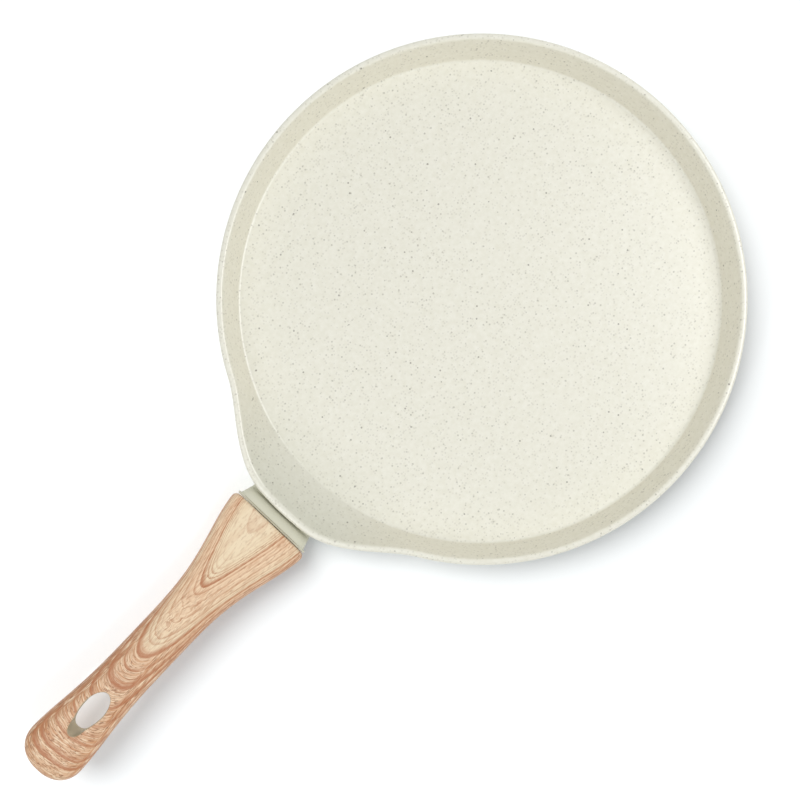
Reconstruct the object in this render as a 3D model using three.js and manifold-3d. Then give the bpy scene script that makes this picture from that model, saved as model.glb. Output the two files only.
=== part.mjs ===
// Dosa tawa: a shallow round griddle pan with a necked rim, a flame guard and a wood-effect handle.
// Millimetres, +Z up. The origin is the middle of the base on the surface the pan stands on,
// and the handle runs out along +X.
import * as THREE from 'three';
import { mergeVertices } from 'three/addons/utils/BufferGeometryUtils.js';
import Module from 'manifold-3d';

const wasm = await Module();
wasm.setup();

// Gap left between pieces that meet or pass through one another.
const FIT = 0.3;

// Pan: a pressed aluminium dish.
const RIM_RADIUS = 140;          // outer edge of the rim lip
const PAN_HEIGHT = 20;           // base to the top of the lip
const BASE_THICKNESS = 4;        // underside to the cooking floor
const WALL = 3;                  // side wall, measured square to its slope
const FLOOR_RADIUS = 130;        // corner of floor and side wall, before the fillet
const FLOOR_FILLET = 2.2;          // inside fillet of that corner
const HEEL_FILLET = 6;           // outside round from base to side wall
const LIP_WIDTH = 3.3;           // level band along the rim
const LIP_HEIGHT = 2.6;          // outer face of the lip
const EDGE_ROUND = 1.1;          // rounding of the lip's two edges
const NECK_REACH = 14.5;         // how far the rim swells out at the handle
const NECK_CREST = 5.5;          // degrees each side of the handle where the swell stays full
const NECK_ROOT = 29.5;          // degrees each side of the handle where the swell has died out
const PAN_SIDES = 96;

// Induction disc: perforated steel pressed flush into the underside.
const DISC_RADIUS = 97;
const DISC_THICKNESS = 0.8;
const HOLE_RADIUS = 2.8;         // perforations, filled by pegs of the pan's own metal
const HOLE_RINGS = 4;            // ring n carries six times n holes
const HOLE_SIDES = 8;

// Handle: its own frame starts at the middle of the front face, u outward, v sideways, w up.
const HANDLE_LENGTH = 174;
const HANDLE_TILT = 8;           // degrees of rise where it leaves the pan
const TAIL_TILT = 1;             // degrees of rise left at the tail
const HANDLE_DROP = 6.5;         // front centre below the top of the lip
const FRONT_WIDTH = 50;
const FRONT_HEIGHT = 20;
const WAIST_WIDTH = 26.4;
const WAIST_HEIGHT = 18;
const WAIST_FROM_FRONT = 92;
const TAIL_WIDTH = 34;
const TAIL_HEIGHT = 16;
const TAIL_ROUND = 14.8;         // length over which the end rounds off
const FRONT_EDGE = 1.6;          // rounding of the front face's upper and lower edges
const FRONT_CORNER = 3.2;        // rounding of its corners, seen from above
const HANDLE_SIDES = 32;

// Hanging hole: an eye through the tail, round toward the pan and scooped out toward the tail.
const EYE_LENGTH = 28.5;
const EYE_WIDTH = 11.9;
const EYE_ROUND_LENGTH = 22;     // length of the round part on the upper face
const SCOOP_WIDTH = 8.4;
const EYE_FROM_TAIL = 27;        // solid end left behind it
const EYE_DRAFT = 2.5;           // degrees, narrowing downward along the handle

// Flame guard: a thin cast collar between the neck and the handle.
const GUARD_SHOW = 7;            // length seen from above between the lip and the handle
const GUARD_WALL = 2.2;
const GUARD_WEB = 3.2;           // back wall with the slot
const GUARD_INSET = 2.6;         // step in from the handle's widest outline
const FLANGE_THICKNESS = 1.2;
const FLANGE_STEP = 1.3;         // how far the flange stands out of the collar's sides
const FLANGE_DROP = 0.5;         // how far its top and bottom stay inside the collar's
const GUARD_NARROW = 1.9;        // narrowing of its sides from the handle to the lip
const GUARD_UNDER = 22;          // length carried on below the neck
const GUARD_TAPER = 2;           // further narrowing of sides and top over that length
const GUARD_RISE = 3;            // rise of its bottom over that length
const GUARD_GROOVE = 1.2;        // depth that its top falls short of the lip's underside

// Tang: a flat tongue on a pad welded below the neck.
const TANG_WIDTH = 16;
const TANG_THICKNESS = 4;
const TANG_GRIP = 40;            // length inside the handle
const PAD_WIDTH = 28;
const PAD_BELOW = 2.9;           // pad under the tongue's middle plane
const PAD_LENGTH = 14;

// Fixing under the handle.
const SCREW_AT = 24;             // from the handle's front face
const SCREW_RADIUS = 2.5;
const HEAD_RADIUS = 4.6;
const HEAD_HEIGHT = 2.3;
const LEDGE = 2.2;               // handle material clamped between washer and tang
const FLAT_WASHER_RADIUS = 5;
const FLAT_WASHER_THICKNESS = 0.8;
const SPRING_WASHER_RADIUS = 4.4;
const SPRING_WASHER_THICKNESS = 1.1;
const RECESS_WIDTH = 1.1;        // arms of the cross recess
const SPRING_SLIT = 0.9;
const ROUND_SIDES = 24;

const degrees = THREE.MathUtils.degToRad;
const smooth = THREE.MathUtils.smoothstep;
const blend = THREE.MathUtils.lerp;

// A closed skin through a run of rings. pointAt(station, turn) places every point, and the first
// and last stations close to a single point.
function loft(stations, sides, pointAt) {
  const spool = Array.from({ length: stations }, (_, j) => new THREE.Vector2(1, j));
  const geometry = new THREE.LatheGeometry(spool, sides);
  const position = geometry.attributes.position;
  for (let i = 0; i <= sides; i += 1) {
    const turn = 2 * Math.PI * (i % sides) / sides;
    for (let j = 0; j < stations; j += 1) {
      const p = pointAt(j, turn);
      position.setXYZ(i * stations + j, p.x, p.y, p.z);
    }
  }
  return geometry;
}

// The solid inside a closed skin, whichever way the skin was wound.
function solid(geometry) {
  const bare = geometry.clone();
  bare.deleteAttribute('normal');
  bare.deleteAttribute('uv');
  const skin = mergeVertices(bare, 1e-4);
  const at = skin.attributes.position;
  const corners = [0, 1, 2].map(() => new THREE.Vector3());
  const triangles = [];
  let volume = 0;
  for (let i = 0; i < skin.index.count; i += 3) {
    const abc = [0, 1, 2].map((k) => skin.index.getX(i + k));
    if (new Set(abc).size === 3) {
      triangles.push(abc);
      abc.forEach((n, k) => corners[k].fromBufferAttribute(at, n));
      volume += corners[0].dot(corners[1].clone().cross(corners[2]));
    }
  }
  if (volume < 0) {
    triangles.forEach((abc) => abc.reverse());
  }
  return new wasm.Manifold(new wasm.Mesh({
    numProp: 3,
    vertProperties: new Float32Array(at.array),
    triVerts: new Uint32Array(triangles.flat()),
  }));
}

function piece(name, body, finish) {
  const mesh = body.getMesh();
  const geometry = new THREE.BufferGeometry();
  geometry.setAttribute('position', new THREE.BufferAttribute(mesh.vertProperties, 3));
  geometry.setIndex(new THREE.BufferAttribute(mesh.triVerts, 1));
  geometry.computeVertexNormals();
  const node = new THREE.Mesh(geometry, new THREE.MeshStandardMaterial(finish));
  node.name = name;
  return node;
}

// Round from a level line into a line rising at a slope, about the corner where they would meet.
function fillet(corner, radius, slope, steps) {
  const start = corner.x - radius * Math.tan(slope / 2);
  return Array.from({ length: steps + 1 }, (_, k) => {
    const a = slope * k / steps;
    return new THREE.Vector2(start + radius * Math.sin(a), corner.y + radius * (1 - Math.cos(a)));
  });
}

// Half section of the pan where the rim swells out by reach. With grow it is the filled outline,
// thickened on the outside, that neighbouring pieces are trimmed to.
function panSection(reach, grow) {
  const lipOuter = RIM_RADIUS + reach;
  const lipInner = lipOuter - LIP_WIDTH;
  const slope = Math.atan2(PAN_HEIGHT - BASE_THICKNESS, lipInner - FLOOR_RADIUS);
  const along = new THREE.Vector2(Math.cos(slope), Math.sin(slope));
  const across = new THREE.Vector2(along.y, -along.x);
  const floorCorner = new THREE.Vector2(FLOOR_RADIUS, BASE_THICKNESS);
  const skin = floorCorner.clone().addScaledVector(across, WALL + grow);
  const heel = skin.clone().addScaledVector(along, -skin.y / along.y);
  const lipFoot = PAN_HEIGHT - LIP_HEIGHT - grow;
  const lipSide = lipOuter + grow;
  const top = PAN_HEIGHT + grow;
  const lipCurve = new THREE.EllipseCurve(
    lipSide - EDGE_ROUND, top - EDGE_ROUND, EDGE_ROUND, EDGE_ROUND, 0, Math.PI / 2);
  const innerEdge = new THREE.QuadraticBezierCurve(
    new THREE.Vector2(lipInner + EDGE_ROUND, top),
    new THREE.Vector2(lipInner, top),
    new THREE.Vector2(lipInner, PAN_HEIGHT).addScaledVector(along, -EDGE_ROUND));
  const outside = [
    new THREE.Vector2(0, DISC_THICKNESS),
    new THREE.Vector2(DISC_RADIUS + FIT, DISC_THICKNESS),
    new THREE.Vector2(DISC_RADIUS + FIT, 0),
    ...fillet(heel, HEEL_FILLET, slope, 4),
    heel.clone().addScaledVector(along, (lipFoot - EDGE_ROUND) / along.y),
    new THREE.Vector2(lipSide - EDGE_ROUND / 2, lipFoot),
    new THREE.Vector2(lipSide, lipFoot + EDGE_ROUND / 2),
    ...lipCurve.getPoints(3),
  ];
  const inside = [
    ...innerEdge.getPoints(3),
    ...fillet(floorCorner, FLOOR_FILLET, slope, 4).reverse(),
    new THREE.Vector2(0, BASE_THICKNESS),
  ];
  return grow > 0 ? [...outside, new THREE.Vector2(0, top)] : [...outside, ...inside];
}

// The dish: its section carried round the centre, the rim swelling out toward the handle.
// Steps round the rim are finer at the neck.
function dish(grow) {
  const stations = panSection(0, grow).length;
  return solid(loft(stations, PAN_SIDES, (j, turn) => {
    const t = turn / Math.PI - 1;
    const phi = Math.PI * t * (1 + Math.abs(t)) / 2;
    const swell = 1 - smooth(Math.abs(phi), degrees(NECK_CREST), degrees(NECK_ROOT));
    const p = panSection(NECK_REACH * swell, grow)[j];
    return new THREE.Vector3(p.x * Math.cos(phi), p.x * Math.sin(phi), p.y);
  }));
}

// Perforations of the induction disc, ring by ring.
const perforations = [];
for (let ring = 1; ring <= HOLE_RINGS; ring += 1) {
  const radius = DISC_RADIUS * ring / (HOLE_RINGS + 0.6);
  for (let k = 0; k < 6 * ring; k += 1) {
    const a = 2 * Math.PI * (k + ring / 2) / (6 * ring);
    perforations.push(new THREE.Vector2(radius * Math.cos(a), radius * Math.sin(a)));
  }
}

function polygon(centre, radius, sides) {
  return Array.from({ length: sides }, (_, k) => {
    const a = 2 * Math.PI * k / sides;
    return new THREE.Vector2(centre.x + radius * Math.cos(a), centre.y + radius * Math.sin(a));
  });
}

function plate(outline, holes, thickness) {
  const shape = new THREE.Shape(outline);
  shape.holes = holes.map((hole) => new THREE.Path(hole));
  return new THREE.ExtrudeGeometry(shape, { depth: thickness, bevelEnabled: false });
}

const middle = new THREE.Vector2(0, 0);
const holes = perforations.map((at) => polygon(at, HOLE_RADIUS, HOLE_SIDES));
const discBody = solid(plate(polygon(middle, DISC_RADIUS, 72), holes, DISC_THICKNESS));

// Pegs of pan metal fill the perforations and stand flush with the disc.
const pegs = perforations.map((at) => {
  const outline = polygon(at, HOLE_RADIUS - FIT, HOLE_SIDES);
  return solid(plate(outline, [], BASE_THICKNESS / 2));
});
const panBody = wasm.Manifold.union([dish(0), ...pegs]);
const aroundPan = dish(FIT);

// Handle frame: front face beyond the neck, tilted up.
const tilt = degrees(HANDLE_TILT);
const frontX = RIM_RADIUS + NECK_REACH + GUARD_SHOW + FRONT_HEIGHT / 2 * Math.sin(tilt);
const handleFrame = new THREE.Matrix4()
  .makeTranslation(frontX, 0, PAN_HEIGHT - HANDLE_DROP)
  .multiply(new THREE.Matrix4().makeRotationY(-tilt));
const bend = Math.tan(degrees(HANDLE_TILT - TAIL_TILT)) / (2 * HANDLE_LENGTH);
const spine = (u) => -bend * u * u;

function inHandle(geometry) {
  return solid(geometry.applyMatrix4(handleFrame));
}

// Point on a rounded section: 2 is an ellipse, larger powers are squarer.
function rounded(turn, halfWidth, halfHeight, power) {
  const c = Math.cos(turn);
  const s = Math.sin(turn);
  return new THREE.Vector2(
    halfWidth * Math.sign(c) * Math.abs(c) ** (2 / power),
    halfHeight * Math.sign(s) * Math.abs(s) ** (2 / power));
}

// What a quarter round of the given radius takes off at u.
function roundOff(u, radius) {
  const short = Math.max(0, radius - u);
  return radius - Math.sqrt(radius ** 2 - short ** 2);
}

// Half width, half height and squareness of the handle at u.
function handleSection(u) {
  const waist = WAIST_FROM_FRONT;
  const tail = HANDLE_LENGTH - TAIL_ROUND;
  const ahead = Math.min(1, u / waist);
  const behind = THREE.MathUtils.clamp((u - waist) / (tail - waist), 0, 1);
  const fade = (1 - ahead ** 1.75) ** 5;
  let width = WAIST_WIDTH + (FRONT_WIDTH - WAIST_WIDTH) * fade;
  width += (TAIL_WIDTH - WAIST_WIDTH) * smooth(behind ** 1.6, 0, 1);
  let height = WAIST_HEIGHT + (FRONT_HEIGHT - WAIST_HEIGHT) * (1 - smooth(ahead, 0, 1));
  height += (TAIL_HEIGHT - WAIST_HEIGHT) * smooth(behind, 0, 1);
  const power = u < waist ? blend(3.6, 2.5, smooth(ahead, 0, 1)) : blend(2.5, 2.9, smooth(behind, 0, 1));
  width -= 2 * roundOff(u, FRONT_CORNER);
  height -= 2 * roundOff(u, FRONT_EDGE);
  if (u > tail) {
    const past = (u - tail) / TAIL_ROUND;
    width *= Math.max(0, 1 - past ** 2.2) ** (1 / 2.2);
    height *= Math.max(0, 1 - past ** 2.6) ** (1 / 2.6);
  }
  return { halfWidth: width / 2, halfHeight: height / 2, power };
}

// Stations along the handle: close at the rounded front edge and the rounded tail.
const handleStations = [0, 0, 0.06, 0.22, 0.5, 1].map((k) => k * FRONT_CORNER);
for (let k = 1; k <= 26; k += 1) {
  handleStations.push(blend(FRONT_CORNER, HANDLE_LENGTH - TAIL_ROUND, k / 26));
}
for (let k = 1; k <= 10; k += 1) {
  handleStations.push(HANDLE_LENGTH - TAIL_ROUND * (1 - Math.sin(Math.PI / 2 * k / 10)));
}

function gripSkin() {
  return loft(handleStations.length, HANDLE_SIDES, (j, turn) => {
    const u = handleStations[j];
    const { halfWidth, halfHeight, power } = handleSection(u);
    const p = rounded(turn, halfWidth, halfHeight, power);
    const open = j === 0 ? 0 : 1;
    return new THREE.Vector3(u, open * p.x, spine(u) + open * p.y);
  });
}

// Outline of the hanging hole on the upper face, about the middle of its round part.
function upperEye(turn) {
  const round = EYE_ROUND_LENGTH / 2;
  const reach = Math.cos(turn) > 0 ? EYE_LENGTH - round : round;
  const along = reach * Math.cos(turn);
  const half = EYE_WIDTH / 2 * Math.sqrt(Math.max(0, 1 - (along / round) ** 2));
  const end = Math.sqrt(1 - Math.abs(Math.cos(turn)) ** 5);
  const scoop = SCOOP_WIDTH / 2 * end * smooth(along, 0, 0.7 * round);
  const across = (half ** 6 + scoop ** 6) ** (1 / 6);
  return new THREE.Vector2(along + round - EYE_LENGTH / 2, Math.sign(Math.sin(turn)) * across);
}

// Outline on the lower face: blunt toward the tail and shorter by the draft.
function lowerEye(turn) {
  const half = EYE_LENGTH / 2 - TAIL_HEIGHT * Math.tan(degrees(EYE_DRAFT));
  return rounded(turn, half, EYE_WIDTH / 2, Math.cos(turn) > 0 ? 2.5 : 2);
}

// Cutter for the hanging hole, upright, with straight walls from one outline to the other.
function eye() {
  const at = new THREE.Vector3(HANDLE_LENGTH, 0, spine(HANDLE_LENGTH)).applyMatrix4(handleFrame);
  const centreX = at.x - EYE_FROM_TAIL - EYE_LENGTH / 2;
  const levels = [-2, -2, -1, 1, 2, 2].map((side) => side * TAIL_HEIGHT / 2);
  return solid(loft(levels.length, 48, (j, turn) => {
    const open = j === 0 || j === levels.length - 1 ? 0 : 1;
    const p = levels[j] > 0 ? upperEye(turn) : lowerEye(turn);
    return new THREE.Vector3(centreX + open * p.x, open * p.y, at.z + levels[j]);
  }));
}

// Box given by its extent along u, half width and its extent along w.
function block(u0, u1, halfWidth, w0, w1) {
  const box = new THREE.BoxGeometry(u1 - u0, 2 * halfWidth, w1 - w0);
  return inHandle(box.translate((u0 + u1) / 2, 0, (w0 + w1) / 2));
}

// Turned piece on the screw's axis, from a profile of radius and w.
function turned(profile) {
  const points = profile.map(([r, w]) => new THREE.Vector2(r, w));
  return inHandle(new THREE.LatheGeometry(points, ROUND_SIDES)
    .rotateX(Math.PI / 2)
    .translate(SCREW_AT, 0, 0));
}

function rod(radius, w0, w1) {
  return turned([[0, w0], [radius, w0], [radius, w1], [0, w1]]);
}

function ring(outer, inner, w0, w1) {
  return turned([[outer, w0], [outer, w1], [inner, w1], [inner, w0], [outer, w0]]);
}

// Heights of the screw stack along w, from the tang downward.
const tangHalf = TANG_THICKNESS / 2;
const bore = SCREW_RADIUS + FIT;
const seat = -tangHalf - FIT - LEDGE;
const flatTop = seat - FIT;
const springTop = flatTop - FLAT_WASHER_THICKNESS - FIT;
const headTop = springTop - SPRING_WASHER_THICKNESS - FIT;
const headEnd = headTop - HEAD_HEIGHT;

const gripBody = inHandle(gripSkin())
  .subtract(eye())
  .subtract(block(-1, TANG_GRIP + FIT, TANG_WIDTH / 2 + FIT, -tangHalf - FIT, tangHalf + FIT))
  .subtract(rod(bore, seat - 1, 0))
  .subtract(rod(FLAT_WASHER_RADIUS + FIT, -FRONT_HEIGHT, seat));

// Collar skin through stations of u, half width, top and bottom, closed flat at both ends.
function collar(stations) {
  const runs = [stations[0], ...stations, stations[stations.length - 1]];
  return inHandle(loft(runs.length, HANDLE_SIDES, (j, turn) => {
    const [u, halfWidth, top, bottom] = runs[j];
    const open = j === 0 || j === runs.length - 1 ? 0 : 1;
    const p = rounded(turn, halfWidth, (top - bottom) / 2, 3.6);
    return new THREE.Vector3(u, open * p.x, (top + bottom) / 2 + open * p.y);
  }));
}

// The collar stands behind a thin flange, rolls down to a groove below the lip and thins out under the neck.
const lipPoint = new THREE.Vector3(RIM_RADIUS + NECK_REACH, 0, PAN_HEIGHT - LIP_HEIGHT - 2 * FIT)
  .applyMatrix4(handleFrame.clone().invert());
const guardHalf = FRONT_WIDTH / 2 - GUARD_INSET;
const guardHigh = FRONT_HEIGHT / 2 - GUARD_INSET;
const underU = lipPoint.x - GUARD_UNDER;
const flangeU = -FIT - FLANGE_THICKNESS;
const flangeHalf = guardHalf + FLANGE_STEP;
const flangeHigh = guardHigh - FLANGE_DROP;
const lipHalf = guardHalf - GUARD_NARROW;
const underHalf = lipHalf - GUARD_TAPER;
const underTop = lipPoint.z - GUARD_TAPER;
const underBottom = GUARD_RISE - guardHigh;
const grooveTop = lipPoint.z - GUARD_GROOVE;
const shoulder = [1, 0.85, 0.7, 0.55, 0.4, 0.2, 0].map((k) => [
  blend(flangeU, lipPoint.x, k),
  blend(guardHalf, lipHalf, k),
  blend(guardHigh, grooveTop, k ** 2.4),
  -guardHigh,
]);
const guardSkin = collar([
  [underU, underHalf, underTop, underBottom],
  ...shoulder,
  [flangeU, flangeHalf, flangeHigh, -flangeHigh],
  [-FIT, flangeHalf, flangeHigh, -flangeHigh],
]);

// Room inside the collar, open toward the neck, with walls of the given thickness.
function hollow(wall) {
  return collar([
    [underU - 1, underHalf - wall, underTop - wall, underBottom + wall],
    [lipPoint.x, lipHalf - wall, lipPoint.z - wall, wall - guardHigh],
    [-GUARD_WEB - wall + GUARD_WALL, guardHalf - wall, guardHigh - wall, wall - guardHigh],
  ]);
}

const slot = block(underU, 1, TANG_WIDTH / 2 + FIT, -tangHalf - FIT, tangHalf + FIT);
const guardBody = guardSkin.subtract(hollow(GUARD_WALL)).subtract(slot).subtract(aroundPan);

// Tongue and weld pad, trimmed to the underside of the neck and bored for the screw.
const padBack = lipPoint.x + FIT;
const pad = block(padBack - PAD_LENGTH, padBack, PAD_WIDTH / 2, -PAD_BELOW, tangHalf)
  .intersect(hollow(GUARD_WALL + FIT));
const tangBody = block(padBack - PAD_LENGTH, TANG_GRIP, TANG_WIDTH / 2, -tangHalf, tangHalf)
  .add(pad)
  .subtract(aroundPan)
  .subtract(rod(bore, -TANG_THICKNESS, TANG_THICKNESS));

// Pan-head screw with a cross recess, and its two washers.
const domeEdge = HEAD_HEIGHT / 3;
const recess = new THREE.BoxGeometry(HEAD_RADIUS, RECESS_WIDTH, HEAD_HEIGHT);
const recessDown = (turn) => inHandle(recess.clone().rotateZ(turn).translate(SCREW_AT, 0, headEnd));
const screwBody = turned([
  [0, headEnd],
  [HEAD_RADIUS - domeEdge, headEnd],
  [HEAD_RADIUS, headEnd + domeEdge],
  [HEAD_RADIUS, headTop],
  [SCREW_RADIUS, headTop],
  [SCREW_RADIUS, tangHalf],
  [0, tangHalf],
]).subtract(recessDown(0)).subtract(recessDown(Math.PI / 2));
const flatBody = ring(FLAT_WASHER_RADIUS, bore, flatTop - FLAT_WASHER_THICKNESS, flatTop);
const slit = new THREE.BoxGeometry(SPRING_WASHER_RADIUS, SPRING_SLIT, 4 * SPRING_WASHER_THICKNESS)
  .translate(SCREW_AT + SPRING_WASHER_RADIUS, 0, springTop);
const springBody = ring(SPRING_WASHER_RADIUS, bore, springTop - SPRING_WASHER_THICKNESS, springTop)
  .subtract(inHandle(slit));

const coat = { color: 0xedebdf, roughness: 0.5, metalness: 0 };
const steel = { color: 0xb4b6b8, roughness: 0.35, metalness: 1 };
const bareAluminium = { color: 0xc9cacb, roughness: 0.4, metalness: 1 };
const guardPaint = { color: 0xcfccba, roughness: 0.5, metalness: 0 };
const woodPrint = { color: 0xd9b692, roughness: 0.5, metalness: 0 };
const zincPlate = { color: 0xbfc2c6, roughness: 0.3, metalness: 1 };

const tawa = new THREE.Group();
tawa.name = 'dosa_tawa';
tawa.add(
  piece('pan_body', panBody, coat),
  piece('induction_disc', discBody, steel),
  piece('handle_tang', tangBody, bareAluminium),
  piece('flame_guard', guardBody, guardPaint),
  piece('handle_grip', gripBody, woodPrint),
  piece('handle_screw', screwBody, zincPlate),
  piece('spring_washer', springBody, zincPlate),
  piece('flat_washer', flatBody, zincPlate),
);

export default tawa;
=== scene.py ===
"""Dosa tawa: a cream speckled griddle pan, its flame guard and its wood-print handle."""
import math

import bmesh
import bpy
import numpy as np
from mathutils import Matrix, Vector


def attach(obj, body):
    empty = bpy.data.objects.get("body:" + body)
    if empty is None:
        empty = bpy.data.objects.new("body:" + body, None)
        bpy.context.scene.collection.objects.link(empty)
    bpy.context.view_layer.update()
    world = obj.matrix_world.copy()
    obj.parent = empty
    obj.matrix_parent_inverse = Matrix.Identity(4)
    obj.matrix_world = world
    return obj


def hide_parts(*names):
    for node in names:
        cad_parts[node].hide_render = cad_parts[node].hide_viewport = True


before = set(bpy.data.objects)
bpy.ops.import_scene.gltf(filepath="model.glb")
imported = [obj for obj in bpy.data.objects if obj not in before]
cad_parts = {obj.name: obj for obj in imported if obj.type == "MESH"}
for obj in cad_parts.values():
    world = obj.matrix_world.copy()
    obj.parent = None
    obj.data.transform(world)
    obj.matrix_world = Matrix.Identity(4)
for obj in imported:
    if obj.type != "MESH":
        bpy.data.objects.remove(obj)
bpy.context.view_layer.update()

MM = 0.001
TAU = 2 * math.pi

# Sizes in millimetres, the same as the solids. But the rim is a hair smaller, because this finer mesh would
# otherwise stand out between the corners of the solid's rim, the lip's upper outer edge is rounded by CROWN
# instead of EDGE_ROUND, and some edges that are sharp on the solids are taken off: the hanging hole's by
# EYE_ROUND, the flange's by FLANGE_EDGE and the disc's lower one by DISC_EDGE.
FIT = 0.3
RIM_RADIUS, PAN_HEIGHT, BASE_THICKNESS, WALL = 139.95, 20.0, 4.0, 3.0
FLOOR_RADIUS, FLOOR_FILLET, HEEL_FILLET = 130.0, 2.2, 6.0
LIP_WIDTH, LIP_HEIGHT, EDGE_ROUND, CROWN = 3.3, 2.6, 1.1, 1.7
NECK_REACH, NECK_CREST, NECK_ROOT = 14.5, math.radians(5.5), math.radians(29.5)
DISC_RADIUS, DISC_THICKNESS, DISC_EDGE, HOLE_RADIUS, HOLE_RINGS = 97.0, 0.8, 0.2, 2.8, 4
HANDLE_LENGTH, HANDLE_DROP = 174.0, 6.5
HANDLE_TILT, TAIL_TILT = math.radians(8), math.radians(1)
FRONT_WIDTH, FRONT_HEIGHT, FRONT_EDGE, FRONT_CORNER = 50.0, 20.0, 1.6, 3.2
WAIST_WIDTH, WAIST_HEIGHT, WAIST_FROM_FRONT = 26.4, 18.0, 92.0
TAIL_WIDTH, TAIL_HEIGHT, TAIL_ROUND = 34.0, 16.0, 14.8
EYE_LENGTH, EYE_WIDTH, EYE_FROM_TAIL, EYE_DRAFT = 28.5, 11.9, 27.0, math.radians(2.5)
EYE_ROUND_LENGTH, SCOOP_WIDTH, EYE_ROUND = 22.0, 8.4, 1.0
GUARD_SHOW, GUARD_WALL, GUARD_WEB, GUARD_INSET = 7.0, 2.2, 3.2, 2.6
GUARD_UNDER, GUARD_NARROW, GUARD_TAPER, GUARD_RISE, GUARD_GROOVE = 22.0, 1.9, 2.0, 3.0, 1.2
FLANGE_THICKNESS, FLANGE_STEP, FLANGE_DROP, FLANGE_EDGE = 1.2, 1.3, 0.5, 0.35
FRONT_POWER = 3.6    # squareness of the section at the handle's front and of the collar
TANG_WIDTH, TANG_THICKNESS, TANG_GRIP = 16.0, 4.0, 40.0
SCREW_AT, SCREW_RADIUS, LEDGE, FLAT_WASHER_RADIUS = 24.0, 2.5, 2.2, 5.0

FRONT_X = RIM_RADIUS + NECK_REACH + GUARD_SHOW + FRONT_HEIGHT / 2 * math.sin(HANDLE_TILT)
FRONT_Z = PAN_HEIGHT - HANDLE_DROP
BEND = math.tan(HANDLE_TILT - TAIL_TILT) / (2 * HANDLE_LENGTH)


# Mesh helpers

def smoothstep(x, low, high):
    """Eases from 0 at low to 1 at high."""
    t = np.clip((x - low) / (high - low), 0, 1)
    return t * t * (3 - 2 * t)


def steps(count, ease=1.0):
    """Even steps from 0 to 1, crowded toward 1 where ease is above 1."""
    return 1 - (1 - np.linspace(0, 1, count)) ** ease


def patch(points, wrap=False):
    """Vertices and quads of a grid of points; wrap closes it along its first direction."""
    rows, cols = points.shape[:2]
    index = np.arange(rows * cols).reshape(rows, cols)
    if wrap:
        index = np.vstack([index, index[:1]])
    quads = np.stack([index[:-1, :-1], index[1:, :-1], index[1:, 1:], index[:-1, 1:]], -1)
    return points.reshape(-1, 3), quads.reshape(-1, 4)


def skin(name, patches, tags=None, sharp=35):
    """One closed mesh from patches in millimetres that share their edges.
    tags are values kept per vertex, each as a list of one array per patch."""
    start = np.cumsum([0] + [len(v) for v, _ in patches])
    verts = np.vstack([v for v, _ in patches]) * MM
    faces = np.vstack([f + s for (_, f), s in zip(patches, start)])
    mesh = bpy.data.meshes.new(name)
    mesh.from_pydata(verts.tolist(), [], faces.tolist())
    for tag, arrays in (tags or {}).items():
        layer = mesh.attributes.new(tag, "FLOAT", "POINT")
        layer.data.foreach_set("value", np.concatenate([np.ravel(a) for a in arrays]).astype(np.float32))
    net = bmesh.new()
    net.from_mesh(mesh)
    bmesh.ops.remove_doubles(net, verts=net.verts, dist=0.002 * MM)
    bmesh.ops.dissolve_degenerate(net, edges=net.edges, dist=1e-8)
    bmesh.ops.recalc_face_normals(net, faces=net.faces)
    net.to_mesh(mesh)
    net.free()
    piece = bpy.data.objects.new(name, mesh)
    bpy.context.collection.objects.link(piece)
    finish_shading(piece, sharp)
    return piece


def finish_shading(piece, sharp):
    """Smooth shading that breaks at edges bent by more than sharp degrees."""
    piece.data.shade_smooth()
    piece.data.set_sharp_from_angle(angle=math.radians(sharp))


def combine(piece, other, operation, sharp=35):
    """Cuts other out of piece, or joins it on, and removes other."""
    tool = piece.modifiers.new("combine", "BOOLEAN")
    tool.object = other
    tool.operation = operation
    tool.solver = "MANIFOLD"
    depsgraph = bpy.context.evaluated_depsgraph_get()
    mesh = bpy.data.meshes.new_from_object(piece.evaluated_get(depsgraph))
    piece.modifiers.clear()
    piece.data = mesh
    finish_shading(piece, sharp)
    bpy.data.objects.remove(other, do_unlink=True)


def in_handle(u, v, w):
    """Points of the handle's own frame, u outward, v sideways, w up, in the object's frame."""
    u, v, w = np.broadcast_arrays(u, v, w)
    x = FRONT_X + u * math.cos(HANDLE_TILT) - w * math.sin(HANDLE_TILT)
    z = FRONT_Z + u * math.sin(HANDLE_TILT) + w * math.cos(HANDLE_TILT)
    return np.stack([x, v, z], -1)


def turned(centres, profile, sides, place):
    """Solids of revolution: a profile of radius and height carried round each centre."""
    turn = np.arange(sides) * TAU / sides
    radius, height = np.array(profile, float).T
    blocks = []
    for a, b in centres:
        blocks.append(patch(place(a + radius * np.cos(turn)[:, None], b + radius * np.sin(turn)[:, None],
                                  np.broadcast_to(height, (sides, len(height)))), wrap=True))
    return blocks


def upright(x, y, z):
    """Points of the object's own frame."""
    return np.stack([x, y, z], -1)


# Pan

PAN_STEPS, DISC_STEPS, PEG_STEPS = 720, 240, 20    # steps round the dish, the disc and a peg
LAST_BASE_RING = 122.0    # radius of the last ring of points on the flat base, inside the heel's round
# The neck's ramp is darkened by painted shade from RAMP_START up to the lip.
RAMP_START = 100.0    # radius where the neck's tone begins


def neck_swell(phi):
    """How far the rim stands out at an angle from the handle: full at the crest, eased to nothing."""
    return NECK_REACH * (1 - smoothstep(np.abs(phi), NECK_CREST, NECK_ROOT))


def wall_lines(phi):
    """Slope of the side wall at an angle, and the radius where its outer face would meet the table."""
    run = RIM_RADIUS + neck_swell(phi) - LIP_WIDTH - FLOOR_RADIUS
    slope = np.arctan2(PAN_HEIGHT - BASE_THICKNESS, run)
    out_r = FLOOR_RADIUS + WALL * np.sin(slope)
    out_z = BASE_THICKNESS - WALL * np.cos(slope)
    return slope, out_r - out_z / np.tan(slope)


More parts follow.
